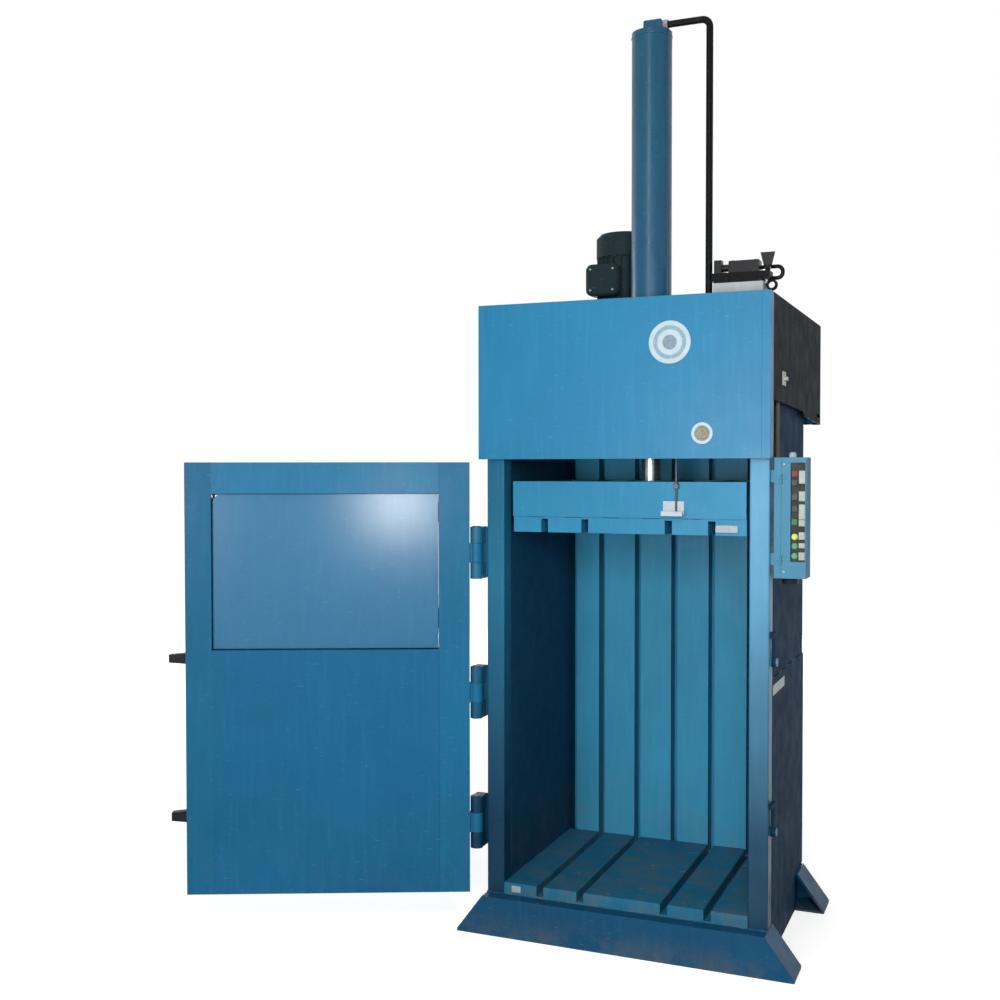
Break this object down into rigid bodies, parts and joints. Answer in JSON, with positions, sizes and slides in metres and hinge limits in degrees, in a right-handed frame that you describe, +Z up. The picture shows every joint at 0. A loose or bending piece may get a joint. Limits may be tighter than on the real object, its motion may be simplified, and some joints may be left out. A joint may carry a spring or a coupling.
{
  "type": "recycling baler",
  "caption": "Vertical hydraulic baler with a slotted press chamber, ram, side-hinged door with loading flap, top cover, motor unit and control box.",
  "frame": {"origin": "on the floor, at the middle of the machine's width, under the front faces of the front columns", "axes": "+X to the right seen from the front, +Y to the rear, +Z up"},
  "size_m": [2.1192, 1.5247, 3.249],
  "materials": {
    "frame_blue": "satin",
    "floor_blue": "scuffed satin",
    "cover_blue": "satin",
    "door_blue": "satin",
    "platen_blue": "satin",
    "bare_steel": "zinc plated",
    "rod_chrome": "polished",
    "cylinder_paint": "satin",
    "gland_steel": "machined",
    "shoe_plastic": "matt",
    "badge_print": "printed film",
    "control_paint": "fine texture",
    "panel_black": "matt",
    "legend_plastic": "satin",
    "button_plastic": "gloss",
    "button_red": "gloss",
    "button_green": "gloss",
    "lamp_lens": "translucent",
    "conduit_plastic": "corrugated",
    "pipe_black": "gloss",
    "motor_paint": "satin",
    "fan_plastic": "matt",
    "pump_iron": "painted casting",
    "stand_grey": "satin",
    "valve_steel": "zinc plated",
    "coil_black": "matt",
    "lock_zinc": "satin"
  },
  "bodies": {
    "frame": {"badges": "badge_print", "cable_glands": "panel_black", "chamber_floor": "floor_blue", "control_box": "control_paint", "control_conduit": "conduit_plastic", "crosshead": "frame_blue", "cylinder_bolts": "bare_steel", "cylinder_cap": "cylinder_paint", "cylinder_gland": "gland_steel", "cylinder_tube": "cylinder_paint", "feed_pipe": "pipe_black", "front_column_left": "frame_blue", "front_column_right": "frame_blue", "front_cover": "cover_blue", "front_foot": "frame_blue", "hinge_pins": "bare_steel", "hydraulic_pump": "pump_iron", "motor_body": "motor_paint", "motor_fan_cover": "motor_paint", "motor_terminal_box": "motor_paint", "oil_tank": "platen_blue", "pipe_fittings": "bare_steel", "rear_cover": "cover_blue", "rear_foot": "frame_blue", "rear_wall": "frame_blue", "return_pipe": "pipe_black", "side_cover_left": "cover_blue", "side_cover_right": "cover_blue", "side_wall_left": "frame_blue", "side_wall_right": "frame_blue", "solenoid_valve": "coil_black", "top_deck": "frame_blue", "valve_manifold": "valve_steel", "valve_stand": "stand_grey"},
    "door": {"door_hinge_stile": "door_blue", "door_latch_stile": "door_blue", "door_top_rail": "door_blue", "door_lower_panel": "door_blue"},
    "loading_flap": {"loading_flap": "door_blue"},
    "flap_bolt": {"flap_bolt": "bare_steel"},
    "ram": {"platen": "platen_blue", "piston_rod": "rod_chrome", "piston": "gland_steel", "guide_shoes": "shoe_plastic", "ejector_hook": "platen_blue", "limit_striker": "bare_steel"},
    "dog_upper": {"door_dog_upper": "bare_steel"},
    "dog_lower": {"door_dog_lower": "bare_steel"},
    "control_door": {"control_door": "control_paint", "button_panel": "panel_black", "legend_plates": "legend_plastic", "pilot_lamps": "lamp_lens"},
    "cover_lock": {"cover_lock": "lock_zinc"},
    "valve_handle": {"valve_handle": "coil_black"},
    "motor_fan": {"motor_fan": "fan_plastic"},
    "push_button_1": {"push_button_1": "button_red"},
    "push_button_2": {"push_button_2": "button_plastic"},
    "push_button_3": {"push_button_3": "button_plastic"},
    "push_button_4": {"push_button_4": "button_plastic"},
    "push_button_5": {"push_button_5": "button_green"}
  },
  "joints": [
    {"name": "door_hinge", "type": "hinge", "parent": "frame", "child": "door", "pos_m": [-0.524, -0.027, 0.9], "axis": [0, 0, 1], "range_deg": [-24.4, 155.6]},
    {"name": "flap_hinge", "type": "hinge", "parent": "door", "child": "loading_flap", "pos_m": [-0.65875, -0.05189, 1.28], "axis": [0, 0, -1], "range_deg": [0, 90]},
    {"name": "flap_bolt_slide", "type": "slide", "parent": "loading_flap", "child": "flap_bolt", "axis": [-0.9107, -0.4131, 0], "range_m": [0, 0.028]},
    {"name": "ram_slide", "type": "slide", "parent": "frame", "child": "ram", "axis": [0, 0, 1], "range_m": [-1.087, 0.025]},
    {"name": "dog_upper_pivot", "type": "hinge", "parent": "frame", "child": "dog_upper", "pos_m": [0.505, 0.038, 1.01], "axis": [1, 0, 0], "range_deg": [0, 90]},
    {"name": "dog_lower_pivot", "type": "hinge", "parent": "frame", "child": "dog_lower", "pos_m": [0.505, 0.038, 0.455], "axis": [1, 0, 0], "range_deg": [0, 90]},
    {"name": "control_door_hinge", "type": "hinge", "parent": "frame", "child": "control_door", "pos_m": [0.531, -0.0042, 1.481], "axis": [0, 0, -1], "range_deg": [0, 100]},
    {"name": "cover_lock_turn", "type": "hinge", "parent": "frame", "child": "cover_lock", "pos_m": [0.505, 0.181, 1.939], "axis": [1, 0, 0], "range_deg": [0, 90]},
    {"name": "valve_handle_turn", "type": "hinge", "parent": "frame", "child": "valve_handle", "pos_m": [0.424, 0.332, 2.36], "axis": [0, 0, 1], "range_deg": [0, 90]},
    {"name": "motor_fan_spin", "type": "hinge", "parent": "frame", "child": "motor_fan", "pos_m": [-0.162, 0.56, 2.45], "axis": [0, 0, 1], "continuous": true},
    {"name": "button_1_press", "type": "slide", "parent": "control_door", "child": "push_button_1", "axis": [0, 1, 0], "range_m": [0, 0.004], "stiffness_N_per_m": 500},
    {"name": "button_2_press", "type": "slide", "parent": "control_door", "child": "push_button_2", "axis": [0, 1, 0], "range_m": [0, 0.004], "stiffness_N_per_m": 500},
    {"name": "button_3_press", "type": "slide", "parent": "control_door", "child": "push_button_3", "axis": [0, 1, 0], "range_m": [0, 0.004], "stiffness_N_per_m": 500},
    {"name": "button_4_press", "type": "slide", "parent": "control_door", "child": "push_button_4", "axis": [0, 1, 0], "range_m": [0, 0.004], "stiffness_N_per_m": 500},
    {"name": "button_5_press", "type": "slide", "parent": "control_door", "child": "push_button_5", "axis": [0, 1, 0], "range_m": [0, 0.004], "stiffness_N_per_m": 500}
  ]
}
